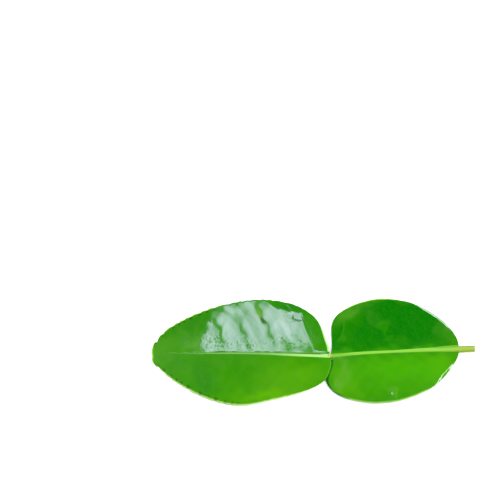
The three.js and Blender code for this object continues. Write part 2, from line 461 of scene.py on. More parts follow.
def veinPhase(lamina, along, across):
    # a count that is a whole number on each side vein
    lean, curl = lamina["veinLean"]
    reach = np.abs(across)
    side = np.where(across >= 0, 0.0, veinLay["alternate"])
    wander = sum(much * np.sin(a * along + b * reach + c * side) for much, a, b, c in veinLay["wander"])
    return lamina["veins"] * (along + lean * reach + curl * reach ** 3) + wander + side


def waves(x, y, rows):
    return sum(h * np.sin(2 * np.pi * (x / px + y / py) + s) for h, px, py, s in rows)


def awayFrom(x, y, start, end):
    # distance to a short line between two points
    start, way = np.array(start), np.subtract(end, start)
    along = ramp((x - start[0]) * way[0] + (y - start[1]) * way[1], 0, way @ way)
    return np.hypot(x - start[0] - along * way[0], y - start[1] - along * way[1])


def pastLine(x, y, start, end):
    # distance past a line; past is the side on the left hand, going from start to end
    way = np.subtract(end, start) / np.linalg.norm(np.subtract(end, start))
    return (y - start[1]) * way[0] - (x - start[0]) * way[1]


def foldDrop(x, y, fromRib):
    # how far the blade's raised half hangs down past its three folds
    lobe, nearTip, strip = relief["lobeFold"], relief["tipFold"], relief["marginFold"]
    past = pastLine(x, y, lobe["from"], lobe["to"])
    drop = lobe["slope"] * softStep(past, lobe["soft"]) * ramp(fromRib, *lobe["ribClear"])
    past = pastLine(x, y, nearTip["from"], nearTip["to"])
    turned = softStep(past, nearTip["soft"]) - softStep(past - nearTip["reach"], nearTip["endSoft"])
    drop += nearTip["slope"] * turned * ramp(fromRib, *nearTip["ribClear"])
    line = smoothLine([(*p, 0) for p in strip["line"]])(np.linspace(0, 1, strip["steps"]))
    over = softStep(y - np.interp(x, line[:, 0], line[:, 1]), strip["soft"])
    drop += strip["slope"] * np.where(x < line[0, 0], 0, over)
    return np.where(fromRib > 0, drop, 0)


topCount = len(leaf.data.vertices)
faceSlots = ("upper face", "under face", "rim", "cut")     # each gets its finish further down
for slot in faceSlots:
    leaf.data.materials.append(None)
applyModifier(leaf, "SOLIDIFY", thickness=sheet["thickness"] * mm, offset=-1, use_rim=True,
              material_offset=faceSlots.index("under face"), material_offset_rim=faceSlots.index("rim"))
spots = readPoints(leaf) / mm
fromRib, toMargin, curl, which = (readTrait(leaf, n) for n in ("fromRib", "toMargin", "curl", "lamina"))
along, across = readTrait(leaf, "along"), readTrait(leaf, "across")
onBlade, onStalk = which == blade["number"], which == stalk["number"]
sideRib = np.where(onBlade, -fromRib, fromRib)     # distance from the midrib, towards +y
phase = np.where(onBlade, veinPhase(blade, along, across), veinPhase(wing, along, across))
phase[onStalk] = 0.5
pitch = np.where(onBlade, blade["length"] / blade["veins"], wing["length"] / wing["veins"])
veinLine = np.exp(-((phase - np.rint(phase)) * pitch / relief["veinWidth"]) ** 2)

isTop = np.arange(len(spots)) < topCount
base = np.r_[spots[:topCount], spots[:topCount]]     # both faces start from the sheet's own surface
x, y = base[:, 0], base[:, 1]
halfWidth, rise, keel = (np.interp(x, midrib["x"], midrib[n]) for n in ("halfWidth", "rise", "keel"))
crest = np.sqrt(np.clip(1 - (fromRib / halfWidth) ** 2, 0, 1))
keelCrest = np.sqrt(np.clip(1 - (fromRib / (relief["keelWidth"] * halfWidth)) ** 2, 0, 1))

fadeOut = ramp(toMargin, 0, relief["fadeOut"]) * ramp(np.abs(fromRib) / halfWidth, 1, 1) * ~onStalk
sway = waves(x, y, relief["sway"]) * fadeOut
fadeOut *= ramp(along, *relief["pleats"])
quilting = -relief["quilt"] * np.cos(2 * np.pi * phase) * fadeOut
bend = -foldDrop(x, y, sideRib) * onBlade - curl
for start, end, wide, deep in relief["dents"]:
    bend -= deep * np.exp(-(awayFrom(x, y, start, end) / wide) ** 2)
for place, radius, high in relief["blisters"]:
    bend += high * np.exp(-((x - place[0]) ** 2 + (y - place[1]) ** 2) / (0.5 * radius) ** 2)
free = base[:, 2] + sway + quilting + bend
under = np.maximum(free, 0)
settled = (free + np.hypot(free, relief["settle"])) / 2

rolled = sheet["rollDrop"] * ramp(sheet["roll"] - toMargin, 0, sheet["roll"]) ** 2
lessRolled, fromDrop = sheet["curlFlat"]
rolled *= 1 - lessRolled * ramp(curl, 0, fromDrop)
groove = relief["ribGroove"]
channel = np.exp(-((np.abs(fromRib) / halfWidth - groove["at"]) / groove["wide"]) ** 2)
channel *= groove["deep"] * ramp(toMargin, 0, groove["fadeOut"]) * ~onStalk
top = settled + sheet["thickness"] + rise * crest - rolled - channel
top -= relief["veinGroove"] * veinLine * fadeOut
low = under - keel * keelCrest + rolled - relief["veinRidge"] * veinLine * fadeOut
spots = np.c_[x, y, np.where(isTop, top, np.maximum(low, 0))]
centre = (spots.min(0) + spots.max(0)) / 2
boxCentre = (np.array(cadLow) + np.array(cadHigh)) / 2 / mm
shift = boxCentre[:2] - centre[:2]
print("leaf: size in millimetres", np.round(spots.max(0) - spots.min(0), 2))
spots[:, :2] += shift
writePoints(leaf, spots * mm)

# where each tone of the upper face lies: x, y, half length, half width, turn in degrees, strength
tones = {
    # deep: painted shade over the wing's upper half and patches of the blade, darker where no light comes
    # through the leaf
    "deep": [(30, 12, 14, 7, 0, 1.0), (36, 7, 7, 4.5, 0, 0.7), (24, 17, 10, 3, 0, 0.5),
             (38, 14, 5, 3, -30, 0.5), (22, 7, 5, 6, 0, 0.4), (7.5, 6, 1.5, 8, 0, 0.4),
             (17, 6, 9, 6, 0, 0.7), (42, 5, 6, 5, 0, 0.3), (12, 1.5, 9, 2, 0, 0.5),
             (26, 2.2, 10, 1.6, 0, 0.5), (38, 2.6, 8, 1.2, 0, 0.3), (8, 3, 3, 3, 0, 0.4),
             (9.1, 9.2, 0.5, 2.8, -10, 0.7), (24, 16, 16, 4, 0, 0.2), (44.5, 3.5, 3, 2.5, 0, 0.3),
             (-8.8, 16, 6, 2.2, -15, 0.7), (8, -12.5, 3, 2.2, -50, 0.2), (-16, 9, 24, 6, 0, 0.25),
             (-30, -2.6, 8, 1.8, 0, 0.2)],
    # bright: painted light on the lower halves of blade and wing, where light comes through the leaf from the
    # white floor, and beside a blister; the same colour also tints the random mottle
    "bright": [(-4, -8, 10, 5, 0, 0.6), (-16, -16, 11, 2.5, 6, 0.9), (-14, -11, 8, 4, 0, 0.25),
               (13, -12, 4, 6, 0, 0.5), (42, -5, 6, 4.5, 0, 0.9), (9, -6.5, 3, 4, 0, 0.35),
               (8.5, -14, 3, 2.5, 0, 0.5), (28.3, -15.0, 0.5, 1.1, 0, 0.9)],
    # painted light on the wing's lower half, where light comes through the leaf from the white floor, and a
    # few small pale marks on its upper half
    "paintedLightGreen": [(26, -5.5, 18, 5.5, 0, 0.9), (40, -6, 8, 5, 0, 0.4), (26, -13, 14, 4, 0, 0.35),
              (23.8, 10.1, 2, 1.7, 0, 0.25), (25, 7.6, 0.4, 1.5, 54, 0.3),
              (26, 5.2, 0.4, 1.7, 0, 0.15)],
    # painted sheen: pale greyish patches that stand in for faint reflections, near the tip, on the wing and
    # around a blister
    "paintedSheen": [(10.5, -6, 2, 4.5, 0, 0.4), (13.5, 15.2, 6, 1.8, 35, 0.3), (20, 13.5, 1.5, 2.5, 20, 0.15),
              (-52, 0, 5, 6, 0, 0.3), (-41.5, 1.8, 2.5, 2.2, 0, 0.4), (-38.8, 4.5, 1.2, 4, 0, 0.3),
              (-44, 5, 5, 3, 0, 0.15), (8.9, -11.2, 1.2, 1.8, 20, 0.45), (23.6, 11.3, 2, 1.7, 0, 0.07),
              (10.2, 8, 0.4, 3.2, -14, 0.15), (45.5, 9, 3, 4, 0, 0.22), (-45, -7, 8, 5, -25, 0.12),
              (-30, -2.7, 14, 2.5, 0, 0.12), (26.7, -14.0, 1.7, 1.3, 0, 0.3),
              (-14, -10, 12, 7, 0, 0.07)],
    # blue: painted bluish-grey sheen near the tip
    "blue": [(-37, -10.5, 3.5, 6, 10, 0.42), (-46, -3, 6, 5, 0, 0.3), (-42, 9.5, 7, 4.5, 20, 0.3)],
    "scar": [(-17.9, 13.0, 0.9, 1.1, 30, 1.0)],
    "core": [(-17.0, 11.7, 0.9, 1.3, 47, 1.0), (-16.3, 10.3, 0.9, 1.6, 5, 1.0),
             (-5.7, 11.7, 0.45, 0.5, 0, 1.0), (-4.6, 11.3, 0.6, 0.5, 0, 1.0)],
    # where the wax film is thick, where it is grainy, and where it is thin and reflects less
    "shine": [(-8, 9, 4.5, 5, 0, 0.9), (-36, 6, 2, 3, 0, 0.5), (-19, 16, 4, 2, 0, 0.4),
              (-30, 9, 1.5, 4, 10, 0.5), (-9.5, 5, 2.3, 3.2, 0, 0.8), (-4.6, 12.3, 0.7, 0.5, 0, 1.0),
              (-5.5, 10.8, 0.7, 0.45, 0, 1.0), (-4.0, 10.4, 0.7, 0.45, 0, 1.0),
              (-11.7, 9.2, 0.7, 0.6, 0, 1.0), (-20.5, 3.2, 6, 3, 0, 0.2)],
    "speck": [(-33, 3.5, 7, 3, 0, 1.0), (-18, 2.5, 14, 1.6, 0, 0.8), (-7, 12, 3, 2, 0, 0.7),
              (-6, 4, 6, 1.6, 0, 0.8)],
    "dull": [(-31, 6.8, 0.75, 3.2, 8, 0.9), (-32.8, 11.5, 1.5, 3.5, 8, 0.6),
             (-33, 14.7, 4, 1.4, 18, 0.9), (-9.4, 5.1, 6, 4, 0, 0.13), (36, 2.2, 10, 1, 3, 0.6),
             (-24.8, 11.5, 1.6, 4.5, 12, 0.4), (-17.9, 16.6, 2.2, 3.0, 0, 1.0),
             (-23, 5.5, 1.2, 4.5, 15, 0.45), (-5, 1.9, 5.5, 1.7, 0, 0.5), (-1.8, 0, 3.6, 0.8, 0, 0.6),
             (-14.2, 6, 0.7, 5, 18, 0.3), (-39.1, 3.5, 2.2, 4.5, 0, 1.0), (-38.3, 10, 1.8, 4, 10, 0.62),
             (-43, 2.5, 3, 2.5, 0, 0.8), (-4.7, 8, 2.4, 5, 0, 0.3), (-14.8, 7.2, 2, 2.5, 0, 0.45),
             (-28.7, 16.6, 3.5, 1.1, 12, 0.9), (26.7, -14.1, 1.2, 1.2, 0, 0.65)],
}
toneWaver = {      # slow waves that shift the patches, given as the sway's are
    "x": [(0.8, 9, 14, 1.0), (0.5, -5, 7, 2.2)],
    "y": [(0.8, 13, -8, 0.3), (0.5, 6, 5, 3.9)],
}
toneX, toneY = x + waves(x, y, toneWaver["x"]), y + waves(x, y, toneWaver["y"])
for name, patches in tones.items():
    total = np.zeros(len(x))
    for px, py, rx, ry, turn, strength in patches:
        dx, dy = toneX - px, toneY - py
        c, s = cos(radians(turn)), sin(radians(turn))
        total += strength * np.exp(-((dx * c + dy * s) / rx) ** 2 - ((dy * c - dx * s) / ry) ** 2)
    writeTrait(leaf, name, np.clip(total, 0, 1))
writeTrait(leaf, "veinPhase", phase)
writeTrait(leaf, "veinPitch", pitch)
writeTrait(leaf, "ribSide", sideRib / np.maximum(halfWidth, midrib["leastDrawn"]))

# the stalk's cut face is hollowed a little inside a narrow rim
cutFace = {"rim": 0.16, "hollow": 0.06, "pithUp": 0.2, "slack": 0.02}
makeActive(leaf)
deselectMesh("FACE")
cutX = spots[:, 0].max()
for face in leaf.data.polygons:
    face.select = bool(face.normal.x > 0.9 and face.center.x > (cutX - cutFace["slack"]) * mm)
bpy.ops.object.mode_set(mode="EDIT")
bpy.ops.mesh.inset(thickness=cutFace["rim"] * mm, depth=-cutFace["hollow"] * mm)
bpy.ops.object.mode_set(mode="OBJECT")
for face in leaf.data.polygons:
    if face.select:
        face.material_index = faceSlots.index("cut")
# the middle of the pith
pith = [cutX * mm, (cutEnd[1] + shift[1]) * mm, (cutEnd[2] + cutFace["pithUp"]) * mm]

makeActive(leaf)
bpy.ops.object.shade_smooth_by_angle(angle=radians(50))
print("leaf: triangles", sum(len(p.vertices) - 2 for p in leaf.data.polygons))

print("leaf: finishes")


def colour(r, g, b):
    def linear(v):
        v /= 255
        return v / 12.92 if v <= 0.04045 else ((v + 0.055) / 1.055) ** 2.4
    return (linear(r), linear(g), linear(b), 1)


def put(tree, kind, ins=None, **settings):
    made = tree.nodes.new(kind)
    for key, value in settings.items():
        setattr(made, key, value)
    for key, value in (ins or {}).items():
        if isinstance(value, bpy.types.NodeSocket):
            tree.links.new(value, made.inputs[key])
        else:
            made.inputs[key].default_value = value
    return made


def calc(tree, operation, a, b=0.0, clamp=False):
    return put(tree, "ShaderNodeMath", {0: a, 1: b}, operation=operation, use_clamp=clamp).outputs[0]


def times(tree, first, *others):
    for other in others:
        first = calc(tree, "MULTIPLY", first, other)
    return first


def between(tree, value, low, high):
    # 0 below low, 1 above high, smooth in between; low may be the larger one
    return put(tree, "ShaderNodeMapRange", {"Value": value, "From Min": low, "From Max": high},
               interpolation_type="SMOOTHSTEP").outputs["Result"]


def band(tree, value, rise, fall):
    # 1 on a stretch of the value; rise and fall say over what values each side of it fades
    return times(tree, between(tree, value, *rise), between(tree, value, *fall))


def mixed(tree, factor, a, b):
    made = put(tree, "ShaderNodeMix", {0: factor, 6: a, 7: b}, data_type="RGBA", clamp_factor=True)
    return made.outputs[2]


def layered(tree, tint, paint, layers):
    # each layer is a mask, how strong it is, and the name of its colour
    for mask, strength, name in layers:
        tint = mixed(tree, times(tree, mask, strength), tint, paint[name])
    return tint


def trait(tree, name):
    return put(tree, "ShaderNodeAttribute", attribute_name=name).outputs["Fac"]


def noise(tree, place, scale, detail, output="Fac"):
    made = put(tree, "ShaderNodeTexNoise", {"Vector": place, "Scale": scale, "Detail": detail})
    return made.outputs[output]


def newGroup(name, inputs, outputs):
    group = bpy.data.node_groups.new(name, "ShaderNodeTree")
    for key, value in inputs.items():
        kind = "NodeSocketVector" if value is None else "NodeSocketFloat"
        made = group.interface.new_socket(key, in_out="INPUT", socket_type=kind)
        if value is not None:
            made.default_value = value
    for key in outputs:
        group.interface.new_socket(key, in_out="OUTPUT", socket_type="NodeSocketFloat")
    return group, group.nodes.new("NodeGroupInput").outputs, group.nodes.new("NodeGroupOutput").inputs


def makeVeinGroup():
    # thin lines at every whole number of a count that runs along the leaf
    group, given, result = newGroup("sideVeins", {"Phase": 0.0, "Pitch": 4.0, "Half Width": 0.15}, ["Line"])
    off = calc(group, "FRACT", calc(group, "ADD", given["Phase"], 0.5))
    off = calc(group, "ABSOLUTE", calc(group, "SUBTRACT", off, 0.5))
    away = calc(group, "DIVIDE", times(group, off, given["Pitch"]), given["Half Width"])
    group.links.new(between(group, away, 1.6, 0.2), result["Line"])
    return group


veinNet = {
    "cells": 620.0,             # these four are densities per metre
    "glands": 1150.0,
    "grain": 2600.0,
    "bends": 300.0,
    "bend": 0.6 * mm,           # how far the net strays from a regular one
    "line": (0.13, 0.02),       # shares of a cell between which its edge and its gland fade
    "gland": (0.2, 0.1),
}


def makeNetGroup():
    # the fine net of veins, and the oil glands in its meshes
    inputs = {"Place": None, "Cells": veinNet["cells"], "Glands": veinNet["glands"]}
    group, given, result = newGroup("veinNet", inputs, ["Net", "Gland", "Grain"])
    bend = noise(group, given["Place"], veinNet["bends"], 1.0, "Color")
    bend = put(group, "ShaderNodeVectorMath", {0: bend, 3: veinNet["bend"]}, operation="SCALE")
    place = put(group, "ShaderNodeVectorMath", {0: given["Place"], 1: bend.outputs[0]}, operation="ADD")
    for name, scale, feature, edges in (("Net", "Cells", "DISTANCE_TO_EDGE", veinNet["line"]),
                                        ("Gland", "Glands", "F1", veinNet["gland"])):
        cells = put(group, "ShaderNodeTexVoronoi", {"Vector": place.outputs[0], "Scale": given[scale]},
                    feature=feature)
        group.links.new(between(group, cells.outputs["Distance"], *edges), result[name])
    group.links.new(noise(group, given["Place"], veinNet["grain"], 3.0), result["Grain"])
    return group


def makeMottleGroup():
    # slow and middling unevenness of colour
    group, given, result = newGroup("mottle", {"Place": None, "Slow": 90.0, "Middling": 420.0},
                                    ["Slow", "Middling"])
    for name, detail in (("Slow", 2.0), ("Middling", 4.0)):
        uneven = noise(group, given["Place"], given[name], detail)
        group.links.new(between(group, uneven, 0.3, 0.7), result[name])
    return group


veinGroup, netGroup, mottleGroup = makeVeinGroup(), makeNetGroup(), makeMottleGroup()


def placeGroup(tree, group, ins):
    return put(tree, "ShaderNodeGroup", ins, node_tree=group).outputs


def sideVeins(tree, **ins):
    ins = {"Phase": trait(tree, "veinPhase"), "Pitch": trait(tree, "veinPitch"), **ins}
    return placeGroup(tree, veinGroup, ins)["Line"]


def newMaterial(name, finish):
    # a material with its shader, its object coordinates and its colours by name
    material = bpy.data.materials.new(name)
    material.use_nodes = True
    tree = material.node_tree
    paint = {key: colour(*value) for key, value in finish["colours"].items()}
    place = put(tree, "ShaderNodeTexCoord").outputs["Object"]
    shader = tree.nodes["Principled BSDF"].inputs
    shader["Specular IOR Level"].default_value = finish["specular"]
    return material, tree, shader, paint, place


def roughen(tree, shader, least, mask, more):
    tree.links.new(calc(tree, "ADD", least, times(tree, mask, more)), shader["Roughness"])


def bumped(tree, height, strength, depth):
    made = put(tree, "ShaderNodeBump", {"Height": height, "Strength": strength, "Distance": depth * mm})
    return made.outputs["Normal"]


upperFace = {
    "specular": 0.05,
    "roughness": (0.15, 0.1, 0.2),      # least, more where mottled, more on the midrib
    "bump": {"strength": 0.5, "depth": 0.01, "grain": 0.5, "net": -0.4, "veins": -0.5},
    # how strong each layer of colour is
    "middling": (0.1, -0.07),           # on the whole leaf, and the change where the painted shade lies
    "net": 0.05,
    "glands": 0.1,
    "veins": 0.07,
    "veinFade": (0.1, 0.9),             # where the slow mottle hides the side veins and shows them
    "flecks": {"scale": 1500.0, "detail": 2.0},
    "colours": {
        "green": (39, 109, 0),
        "greenOther": (31, 104, 0),
        # the next five colours stand in for light and shade: two of painted light, one of painted shade and
        # two of painted sheen; the first also tints the random mottle
        "bright": (66, 129, 0),
        "paintedLightGreen": (48, 127, 0),
        "deep": (0, 90, 0),
        "paintedSheen": (78, 126, 38),
        "blue": (27, 92, 25),
        "scar": (84, 130, 3),
        "core": (24, 68, 0),
        "vein": (66, 126, 4),
        "rib": (106, 158, 46),
        "ribPale": (92, 137, 66),
        "ribJoint": (131, 176, 91),
        "ribShade": (60, 94, 14),
        "stalk": (121, 149, 54),
        "rust": (140, 80, 16),
        # the next three colours are painted light along the edges, where light catches or passes through
        # them, and painted shadow where the wing's edge lies under the blade
        "margin": (100, 152, 56),
        "paintedEdgeLight": (136, 180, 104),
        "paintedLapShadow": (8, 78, 4),
        "gland": (18, 70, 0),
        # painted light through the thin lower margins
        "fringe": (150, 196, 62),
    },
}


def laminaTint(tree, paint, mottle, net, veinFade):
    tint = mixed(tree, mottle["Slow"], paint["green"], paint["greenOther"])
    # the first five tones lay painted light, painted shade and painted sheen over the green; scar and core
    # are the leaf's own marks
    for name in ("deep", "bright", "paintedLightGreen", "paintedSheen", "blue", "scar", "core"):
        tint = mixed(tree, trait(tree, name), tint, paint[name])
    middling, whereDeep = upperFace["middling"]
    middling = calc(tree, "ADD", middling, times(tree, trait(tree, "deep"), whereDeep))
    return layered(tree, tint, paint, [(mottle["Middling"], middling, "bright"),
                                       (net["Net"], upperFace["net"], "vein"),
                                       (net["Gland"], upperFace["glands"], "vein"),
                                       (veinFade, upperFace["veins"], "vein")])


# distances from the margin in millimetres, and values of the tone and notch traits, between which
# each effect fades
margin = {
    "pale": 0.5,                        # how wide a full tone's line of painted light is
    "paleSoft": (0.5, 0.0),
    # painted shadow along the wing's edge under the blade
    "dark": (1.4, 0.6),
    "paler": (0.7, 1.0),                # tones that turn from the pale to the palest colour
    # the fringe: painted light, where light shows through the thin lower margins
    "fringe": (0.45, 0.15),
    "fringeTones": ((0.3, 0.5), (1.1, 0.8)),
    "fringeStrength": 0.7,
    "notch": (1.7, 0.7),
    "notchDepth": (0.25, 0.65),
    "notchMottle": (-0.4, 0.8),
    "notchStrength": 0.8,
}


def marginTint(tree, paint, tint, mottle, toMargin):
    # painted light along the margins, painted shadow where the tone is negative, the painted light of the
    # fringe, and the oil glands' own colour in the notches
    edgeTone = trait(tree, "edgeTone")
    fromLine = calc(tree, "SUBTRACT", toMargin, times(tree, edgeTone, margin["pale"]))
    pale = times(tree, between(tree, fromLine, *margin["paleSoft"]), edgeTone)
    dark = times(tree, between(tree, toMargin, *margin["dark"]), edgeTone, -1.0)
    edgeTint = mixed(tree, between(tree, edgeTone, *margin["paler"]), paint["margin"], paint["paintedEdgeLight"])
    tint = mixed(tree, pale, tint, edgeTint)
    tint = mixed(tree, dark, tint, paint["paintedLapShadow"])
    fringe = times(tree, between(tree, toMargin, *margin["fringe"]),
                   band(tree, edgeTone, *margin["fringeTones"]))
    inNotch = times(tree, between(tree, toMargin, *margin["notch"]),
                    between(tree, trait(tree, "notch"), *margin["notchDepth"]),
                    between(tree, mottle["Middling"], *margin["notchMottle"]))
    return layered(tree, tint, paint, [(fringe, margin["fringeStrength"], "fringe"),
                                       (inNotch, margin["notchStrength"], "gland")])


# Where each effect on the midrib sets in and where it ends: along the leaf in millimetres from the
# middle of its footprint, and across in the midrib's half widths, towards the raised half.
ribLook = {
    "width": (1.05, 0.8),
    "fromTip": (-50, -30),
    "beforeJoint": ((-20, 0), (4.5, 2)),        # a shaded groove runs beside the midrib
    "groove": ((0.45, 0.65), (1.5, 1.2)),
    "grooveStrength": 0.8,
    "flank": (40, 44.5),                        # the midrib's flank shows beside the stalk
    "flankStrength": 0.6,
    # a line of painted shade along the midrib's upper side, near the stalk
    "crease": ((0.3, 0.5), (0.85, 0.65)),
    "creaseFrom": (40, 44),
    "creaseStrength": 0.5,
    "pastJoint": ((5.8, 6.8), (16, 8)),         # fainter just past the joint
    "pastJointFade": 0.3,
    "wingFrom": (5.5, 6.5),
    "stalkFrom": (46, 51.5),
    "joint": 5.7,
    "jointRust": (1.1, 0.3),
    "rustFlecks": (0.45, 0.6),
    "stalkEdge": (0.6, 1.0),
    "stalkRust": 0.6,
}


def midribTint(tree, paint, place, flecks, ribSide):
    # where the midrib shows, and its colour
    alongX = put(tree, "ShaderNodeSeparateXYZ", {0: place}).outputs["X"]
    alongX = calc(tree, "DIVIDE", alongX, mm)
    ribAway = calc(tree, "ABSOLUTE", ribSide)
    towardsJoint, untilJoint = ribLook["beforeJoint"]
    groove = band(tree, ribSide, *ribLook["groove"])
    shade = times(tree, groove, band(tree, alongX, towardsJoint, untilJoint))
    flank = times(tree, groove, between(tree, alongX, *ribLook["flank"]))
    crease = times(tree, band(tree, ribSide, *ribLook["crease"]),
                   between(tree, alongX, *ribLook["creaseFrom"]))
    onRib = calc(tree, "MAXIMUM", times(tree, shade, ribLook["grooveStrength"]),
                 times(tree, flank, ribLook["flankStrength"]))
    onRib = calc(tree, "MAXIMUM", onRib, between(tree, ribAway, *ribLook["width"]))
    faint = times(tree, band(tree, alongX, *ribLook["pastJoint"]), ribLook["pastJointFade"])
    onRib = times(tree, onRib, between(tree, alongX, *ribLook["fromTip"]),
                  calc(tree, "SUBTRACT", 1.0, faint))

    onStalk = between(tree, alongX, *ribLook["stalkFrom"])
    tint = mixed(tree, between(tree, alongX, *towardsJoint), paint["ribPale"], paint["ribJoint"])
    tint = mixed(tree, between(tree, alongX, *ribLook["wingFrom"]), tint, paint["rib"])
    tint = mixed(tree, shade, tint, paint["ribShade"])
    tint = mixed(tree, onStalk, tint, paint["stalk"])
    # painted shade in the crease
    tint = mixed(tree, times(tree, crease, ribLook["creaseStrength"]), tint, paint["ribShade"])
    fromJoint = calc(tree, "ABSOLUTE", calc(tree, "SUBTRACT", alongX, ribLook["joint"]))
    rust = times(tree, between(tree, fromJoint, *ribLook["jointRust"]),
                 between(tree, flecks, *ribLook["rustFlecks"]))
    stalkEdge = times(tree, onStalk, between(tree, ribAway, *ribLook["stalkEdge"]), ribLook["stalkRust"])
    return onRib, mixed(tree, calc(tree, "MAXIMUM", rust, stalkEdge), tint, paint["rust"])


# the wax film: thin in places and along streaks that run with the side veins
waxFilm = {
    "roughness": 0.08,
    "refraction": 1.62,
    "least": 0.4,
    "streaks": {"strength": 0.32, "across": 1.1, "scale": 1.3, "detail": 3.0, "edges": (0.3, 0.62)},
    "shine": 0.3,
    "specks": {"strength": -0.5, "edges": (0.46, 0.62)},
    "dull": -0.9,
    "fromRib": (1.3, 2.2),
    "rolledEdge": (0.8, 0.4),       # the rolled edge has no film, unless it is curled
    "curled": (0.03, 0.0),
}


def waxOver(tree, flecks, ribSide, toMargin):
    streaks, specks = waxFilm["streaks"], waxFilm["specks"]
    run = put(tree, "ShaderNodeCombineXYZ",
              {"X": trait(tree, "veinPhase"), "Y": times(tree, trait(tree, "across"), streaks["across"])})
    streaky = noise(tree, run.outputs[0], streaks["scale"], streaks["detail"])
    film = times(tree, between(tree, streaky, *streaks["edges"]), streaks["strength"])
    film = calc(tree, "ADD", film, waxFilm["least"])
    film = calc(tree, "ADD", film, times(tree, trait(tree, "shine"), waxFilm["shine"]))
    speckle = times(tree, between(tree, flecks, *specks["edges"]), trait(tree, "speck"))
    for mask, strength in ((speckle, specks["strength"]), (trait(tree, "dull"), waxFilm["dull"]),
                           (trait(tree, "scar"), -1.0), (trait(tree, "core"), -1.0)):
        film = calc(tree, "ADD", film, times(tree, mask, strength), clamp=True)
    flatEdge = times(tree, between(tree, toMargin, *waxFilm["rolledEdge"]),
                     between(tree, trait(tree, "curl"), *waxFilm["curled"]))
    offRib = between(tree, calc(tree, "ABSOLUTE", ribSide), *waxFilm["fromRib"])
    return times(tree, film, offRib, calc(tree, "SUBTRACT", 1.0, flatEdge))


def makeUpperFace():
    material, tree, shader, paint, place = newMaterial("glossyUpperFace", upperFace)
    mottle = placeGroup(tree, mottleGroup, {"Place": place})
    net = placeGroup(tree, netGroup, {"Place": place})
    veinFade = times(tree, sideVeins(tree), between(tree, mottle["Slow"], *upperFace["veinFade"]))
    toMargin, ribSide = trait(tree, "toMargin"), trait(tree, "ribSide")
    flecks = noise(tree, place, **upperFace["flecks"])
    tint = laminaTint(tree, paint, mottle, net, veinFade)
    tint = marginTint(tree, paint, tint, mottle, toMargin)
    onRib, ribTint = midribTint(tree, paint, place, flecks, ribSide)
    tree.links.new(mixed(tree, onRib, tint, ribTint), shader["Base Color"])

    tree.links.new(waxOver(tree, flecks, ribSide, toMargin), shader["Coat Weight"])
    shader["Coat Roughness"].default_value = waxFilm["roughness"]
    shader["Coat IOR"].default_value = waxFilm["refraction"]
    least, mottled, ribbed = upperFace["roughness"]
    roughen(tree, shader, calc(tree, "ADD", least, times(tree, mottle["Middling"], mottled)), onRib, ribbed)

    bump = upperFace["bump"]
    height = calc(tree, "ADD", times(tree, net["Grain"], bump["grain"]), times(tree, net["Net"], bump["net"]))
    height = calc(tree, "ADD", height, times(tree, veinFade, bump["veins"]))
    normal = bumped(tree, height, bump["strength"], bump["depth"])
    tree.links.new(normal, shader["Normal"])
    tree.links.new(normal, shader["Coat Normal"])
    return material


underFace = {
    "specular": 0.25,
    "roughness": (0.5, 0.15),
    "bump": {"strength": 0.6, "depth": 0.04, "net": 0.8, "grain": 0.5},
    "cells": 560.0,
    "veinHalfWidth": 0.24,
    "middling": 0.2,
    "glands": 0.45,
    "net": 0.4,
    "veins": 0.85,
    "margin": (0.6, 0.0),
    "keel": (1.1, 0.9),
    "colours": {
        "green": (92, 130, 58),
        "greenOther": (80, 120, 50),
        "vein": (132, 160, 90),
        "rib": (142, 164, 84),
        "gland": (62, 98, 34),
        "margin": (120, 152, 74),
    },
}


def makeUnderFace():
    material, tree, shader, paint, place = newMaterial("mattUnderFace", underFace)
    mottle = placeGroup(tree, mottleGroup, {"Place": place})
    net = placeGroup(tree, netGroup, {"Place": place, "Cells": underFace["cells"]})
    veins = sideVeins(tree, **{"Half Width": underFace["veinHalfWidth"]})
    tint = mixed(tree, mottle["Slow"], paint["green"], paint["greenOther"])
    tint = layered(tree, tint, paint, [(mottle["Middling"], underFace["middling"], "greenOther"),
                                       (net["Gland"], underFace["glands"], "gland"),
                                       (net["Net"], underFace["net"], "vein"),
                                       (veins, underFace["veins"], "vein")])
    tint = mixed(tree, between(tree, trait(tree, "toMargin"), *underFace["margin"]), tint, paint["margin"])
    ribAway = calc(tree, "ABSOLUTE", trait(tree, "ribSide"))
    tint = mixed(tree, between(tree, ribAway, *underFace["keel"]), tint, paint["rib"])
    tree.links.new(tint, shader["Base Color"])
    least, mottled = underFace["roughness"]
    roughen(tree, shader, least, mottle["Middling"], mottled)
    bump = underFace["bump"]
    height = calc(tree, "ADD", times(tree, net["Net"], bump["net"]), times(tree, net["Grain"], bump["grain"]))
    height = calc(tree, "ADD", height, veins)
    tree.links.new(bumped(tree, height, bump["strength"], bump["depth"]), shader["Normal"])
    return material


rim = {
    "specular": 0.2,
    "roughness": (0.35, 0.1),
    "mottleScale": 900.0,
    "notch": (0.4, 0.8),
    "notchStrength": 0.5,
    # the tones at which the rim takes painted shadow
    "darkTones": (0.0, -1.0),
    "colours": {
        # both greens are painted lighter, as though the rim were lit; the last colour is painted shadow
        "pale": (160, 200, 92),
        "green": (134, 178, 66),
        "notch": (94, 110, 24),
        "dark": (20, 92, 6),
    },
}


